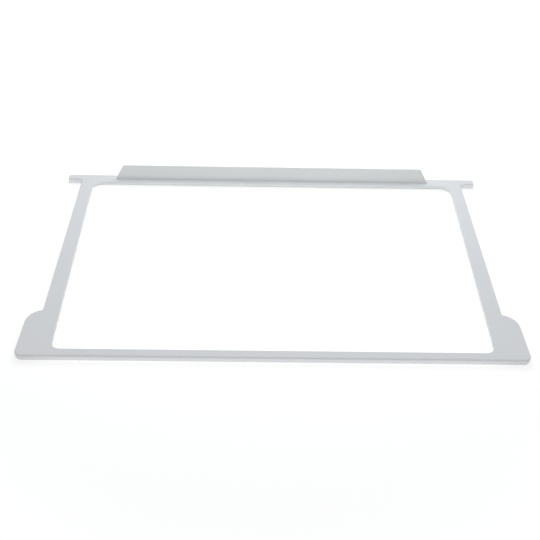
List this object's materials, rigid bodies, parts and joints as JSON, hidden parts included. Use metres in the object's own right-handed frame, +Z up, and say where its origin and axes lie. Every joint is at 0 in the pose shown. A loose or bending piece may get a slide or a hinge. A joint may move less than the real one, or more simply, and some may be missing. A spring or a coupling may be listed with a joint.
{
  "type": "refrigerator shelf",
  "caption": "Flat refrigerator shelf: a clear glass pane in a pale moulded plastic frame with front ears, side lugs at the rear corners and a raised rear stop.",
  "frame": {"origin": "under the middle of the shelf, on the plane of its underside", "axes": "+X across the shelf, +Y from the front towards the rear stop, +Z up"},
  "size_m": [0.5214, 0.3122, 0.025],
  "materials": {
    "frame_plastic": "pale grey-white moulded plastic, satin gloss",
    "clear_glass": "clear toughened float glass with ground edges"
  },
  "bodies": {
    "root": {"shelf_frame": "frame_plastic", "glass_pane": "clear_glass"}
  },
  "joints": []
}
